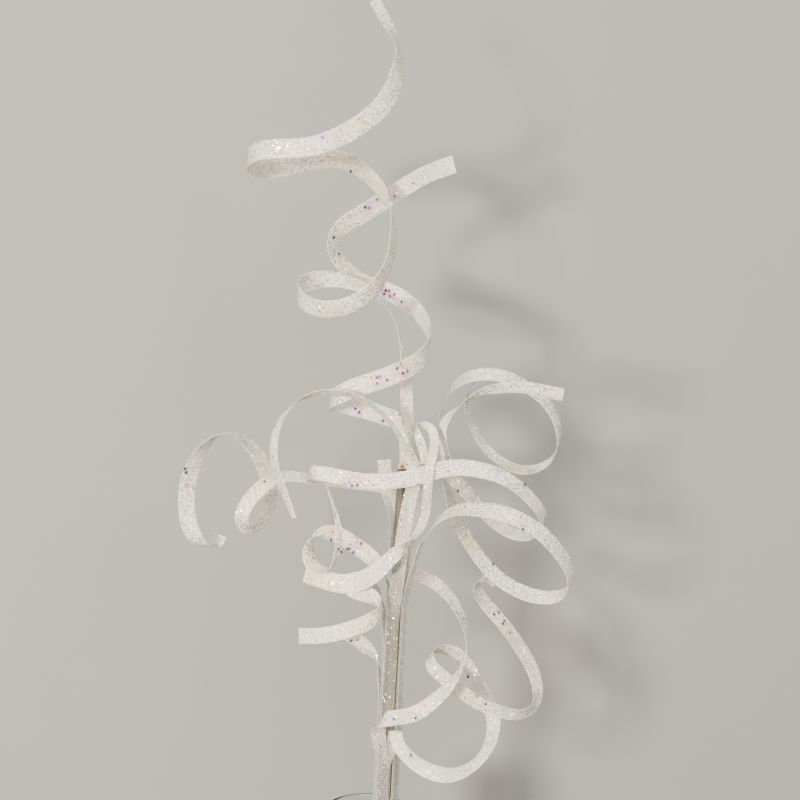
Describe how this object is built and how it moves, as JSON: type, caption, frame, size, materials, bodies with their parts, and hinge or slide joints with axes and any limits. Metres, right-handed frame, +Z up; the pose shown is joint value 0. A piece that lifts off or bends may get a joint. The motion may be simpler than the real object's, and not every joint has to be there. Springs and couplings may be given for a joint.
{
  "type": "curly willow spray in a vase",
  "caption": "Decorative curly willow spray of loosely coiled flat glittered strips round a thin stick, standing in a tapered clear glass vase.",
  "frame": {"origin": "centre of the vase's foot, on the surface it stands on", "axes": "+Z up along the vase's axis, +X to the right and +Y to the back as the picture is seen"},
  "size_m": [0.2371, 0.0797, 0.6826],
  "materials": {
    "vase_glass": "clear, smooth and thin walled with a thick foot",
    "stick": "bare brown stick, dull, with a pale cut face",
    "strip": "sheer ivory pearl strip with fine ribs, glitter and small iridescent flakes"
  },
  "bodies": {
    "root": {"vase": "vase_glass", "stem_core": "stick", "curl_crown": "strip", "curl_collar": "strip", "curl_long_arc": "strip", "curl_cross_band": "strip", "curl_far_left": "strip", "curl_left_loop": "strip", "curl_left_shelf": "strip", "curl_left_spur": "strip", "curl_small_loop": "strip", "curl_right_rings": "strip", "curl_low_right": "strip", "curl_low_hook": "strip", "curl_stub": "strip"}
  },
  "joints": []
}
